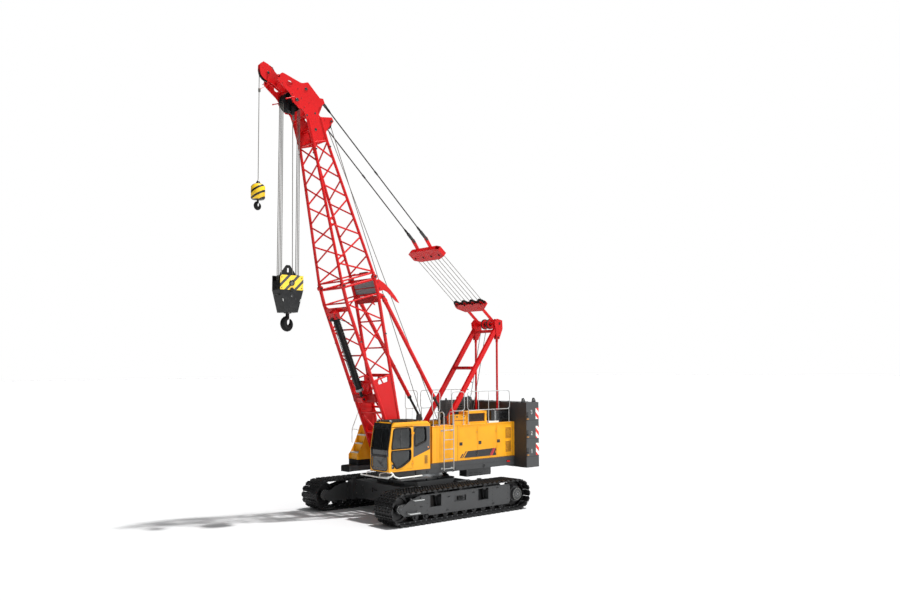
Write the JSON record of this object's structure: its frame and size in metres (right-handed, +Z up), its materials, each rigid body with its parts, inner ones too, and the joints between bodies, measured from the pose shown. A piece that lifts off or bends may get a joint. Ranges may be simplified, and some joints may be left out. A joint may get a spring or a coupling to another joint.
{
  "type": "lattice boom crawler crane",
  "caption": "Crawler crane with a lattice boom, raking gantry, boom stays, side houses, slab counterweight, cab, winches and two hook blocks.",
  "frame": {"origin": "bottom centre of the crane's overall box, on the ground between the tracks; the slewing axis stands at X = -1.13 m", "axes": "+X forwards, towards the boom head; +Y to the crane's left, the cab's side; +Z up"},
  "size_m": [11.097, 5.58, 15.2519],
  "materials": {
    "chassis_grey": "satin",
    "track_steel": "worn",
    "machined_steel": "machined",
    "cast_metal": "cast",
    "body_yellow": "gloss",
    "weight_grey": "satin",
    "rail_silver": "satin",
    "gloss_black": "gloss",
    "window_glass": "clear",
    "seat_black": "matte",
    "drum_black": "satin",
    "boom_red": "gloss",
    "rope_grey": "stranded"
  },
  "bodies": {
    "undercarriage": {"carbody": "chassis_grey", "slewing_ring": "machined_steel", "side_frames": "chassis_grey", "left_track": "track_steel", "right_track": "track_steel", "drive_sprockets": "track_steel", "idler_wheels": "track_steel", "track_rollers": "track_steel"},
    "upper_works": {"upper_frame": "chassis_grey", "engine": "cast_metal", "side_houses": "body_yellow", "rear_cover": "body_yellow", "counterweight_tray": "weight_grey", "counterweight_slabs": "weight_grey", "fuel_tank_steps": "body_yellow", "roof_rails": "rail_silver", "ladder": "rail_silver", "left_catwalk": "rail_silver", "cooler_box": "body_yellow", "silencer": "gloss_black", "right_roof_module": "chassis_grey", "cab_floor": "chassis_grey", "cab_roof": "body_yellow", "cab_right_wall": "body_yellow", "cab_left_wall": "body_yellow", "cab_rear_wall": "body_yellow", "cab_front_frame": "body_yellow", "cab_glass": "window_glass", "operator_seat": "seat_black", "gantry": "boom_red", "gantry_back_links": "boom_red"},
    "cab_door": {"cab_door": "body_yellow", "cab_door_glass": "window_glass"},
    "left_front_door": {"left_front_door": "body_yellow"},
    "left_middle_door": {"left_middle_door": "body_yellow"},
    "left_rear_door": {"left_rear_door": "body_yellow"},
    "right_side_door": {"right_side_door": "body_yellow"},
    "main_winch": {"main_winch_drum": "drum_black"},
    "auxiliary_winch": {"auxiliary_winch_drum": "drum_black"},
    "boom_hoist": {"boom_hoist_drum": "drum_black"},
    "boom": {"boom_base": "boom_red", "boom_top": "boom_red", "assembly_cylinder": "drum_black"},
    "main_sheaves": {"main_head_sheaves": "drum_black"},
    "tip_sheave": {"tip_sheave": "drum_black"},
    "deflector_sheaves": {"deflector_sheaves": "drum_black"},
    "boom_stays": {"boom_stays": "rope_grey"},
    "gantry_block": {"gantry_sheave_block": "boom_red"},
    "floating_bail": {"floating_bail": "boom_red"},
    "backstop_tubes": {"backstop_tubes": "boom_red"},
    "backstop_rods": {"backstop_rods": "machined_steel"},
    "rope_socket": {"main_rope_socket": "drum_black"},
    "main_block": {"main_hook_block": "drum_black"},
    "main_hook": {"main_hook": "cast_metal"},
    "limit_weight": {"auxiliary_limit_weight": "drum_black"},
    "auxiliary_block": {"auxiliary_hook_block": "drum_black"},
    "auxiliary_hook": {"auxiliary_hook": "cast_metal"}
  },
  "joints": [
    {"name": "slew", "type": "hinge", "parent": "undercarriage", "child": "upper_works", "pos_m": [-1.13, 0, 1.35], "axis": [0, 0, 1], "continuous": true},
    {"name": "boom_luff", "type": "hinge", "parent": "upper_works", "child": "boom", "pos_m": [0.02, 0, 1.8], "axis": [0, -1, 0], "range_deg": [-43.4, 6.6]},
    {"name": "gantry_block_swing", "type": "hinge", "parent": "upper_works", "child": "gantry_block", "pos_m": [-4.73, 0, 6.86], "axis": [0, -1, 0], "range_deg": [-30.88, 5.12]},
    {"name": "luffing_falls", "type": "slide", "parent": "gantry_block", "child": "floating_bail", "axis": [0.766, 0, 0.6428], "range_m": [-0.7941, 5.0546]},
    {"name": "boom_stay_swing", "type": "hinge", "parent": "boom", "child": "boom_stays", "pos_m": [3.23018, 0, 14.23098], "axis": [0, -1, 0], "range_deg": [-1.6, 0.67]},
    {"name": "backstop_swing", "type": "hinge", "parent": "boom", "child": "backstop_tubes", "pos_m": [0.90545, 0, 7.64045], "axis": [0, -1, 0], "range_deg": [-0.96, 3.55]},
    {"name": "backstop_stroke", "type": "slide", "parent": "backstop_tubes", "child": "backstop_rods", "axis": [-0.5386, 0, -0.8426], "range_m": [-0.2886, 1.7865]},
    {"name": "main_sheaves_turn", "type": "hinge", "parent": "boom", "child": "main_sheaves", "pos_m": [4.22564, 0, 14.06987], "axis": [0, 1, 0], "continuous": true},
    {"name": "tip_sheave_turn", "type": "hinge", "parent": "boom", "child": "tip_sheave", "pos_m": [5.08817, 0, 14.89797], "axis": [0, 1, 0], "continuous": true},
    {"name": "deflector_sheaves_turn", "type": "hinge", "parent": "boom", "child": "deflector_sheaves", "pos_m": [2.88553, 0, 13.58241], "axis": [0, 1, 0], "continuous": true},
    {"name": "main_rope_plumb", "type": "hinge", "parent": "boom", "child": "rope_socket", "pos_m": [4.22564, 0, 14.06987], "axis": [0, -1, 0], "range_deg": [-7.1, 43.9]},
    {"name": "main_hoist", "type": "slide", "parent": "rope_socket", "child": "main_block", "axis": [0, 0, -1], "range_m": [-4.2, 5.8]},
    {"name": "main_hook_swivel", "type": "hinge", "parent": "main_block", "child": "main_hook", "pos_m": [4.226, 0, 7.3], "axis": [0, 0, 1], "continuous": true},
    {"name": "auxiliary_rope_plumb", "type": "hinge", "parent": "boom", "child": "limit_weight", "pos_m": [5.08817, 0, 14.89797], "axis": [0, -1, 0], "range_deg": [-7.1, 43.9]},
    {"name": "auxiliary_hoist", "type": "slide", "parent": "limit_weight", "child": "auxiliary_block", "axis": [0, 0, -1], "range_m": [-1.8, 9.5]},
    {"name": "auxiliary_hook_swivel", "type": "hinge", "parent": "auxiliary_block", "child": "auxiliary_hook", "pos_m": [5.35, 0, 10.85], "axis": [0, 0, 1], "continuous": true},
    {"name": "main_winch_turn", "type": "hinge", "parent": "upper_works", "child": "main_winch", "pos_m": [-2.42, 0, 2.33], "axis": [0, 1, 0], "continuous": true},
    {"name": "auxiliary_winch_turn", "type": "hinge", "parent": "upper_works", "child": "auxiliary_winch", "pos_m": [-1.56, 0, 2.33], "axis": [0, 1, 0], "continuous": true},
    {"name": "boom_hoist_turn", "type": "hinge", "parent": "upper_works", "child": "boom_hoist", "pos_m": [-3.33, 0, 2.25], "axis": [0, 1, 0], "continuous": true},
    {"name": "cab_door_hinge", "type": "hinge", "parent": "upper_works", "child": "cab_door", "pos_m": [0.48, 1.935, 2.4], "axis": [0, 0, 1], "range_deg": [0, 100]},
    {"name": "left_front_door_hinge", "type": "hinge", "parent": "upper_works", "child": "left_front_door", "pos_m": [-2.86, 1.46, 2.4], "axis": [0, 0, 1], "range_deg": [0, 110]},
    {"name": "left_middle_door_hinge", "type": "hinge", "parent": "upper_works", "child": "left_middle_door", "pos_m": [-3.82, 1.46, 2.4], "axis": [0, 0, 1], "range_deg": [0, 110]},
    {"name": "left_rear_door_hinge", "type": "hinge", "parent": "upper_works", "child": "left_rear_door", "pos_m": [-4.63, 1.46, 2.4], "axis": [0, 0, 1], "range_deg": [0, 90]},
    {"name": "right_side_door_hinge", "type": "hinge", "parent": "upper_works", "child": "right_side_door", "pos_m": [-2.86, -1.46, 2.4], "axis": [0, 0, -1], "range_deg": [0, 110]}
  ],
  "couplings": [
    {"joint": "gantry_block_swing", "follows": "boom_luff", "ratio": 0.7},
    {"joint": "luffing_falls", "follows": "boom_luff", "m_per_rad": -6.6334},
    {"joint": "boom_stay_swing", "follows": "boom_luff", "ratio": 0.02538},
    {"joint": "backstop_swing", "follows": "boom_luff", "ratio": -0.0702},
    {"joint": "backstop_stroke", "follows": "boom_luff", "m_per_rad": -2.3322},
    {"joint": "main_rope_plumb", "follows": "boom_luff", "ratio": -1},
    {"joint": "auxiliary_rope_plumb", "follows": "boom_luff", "ratio": -1}
  ]
}
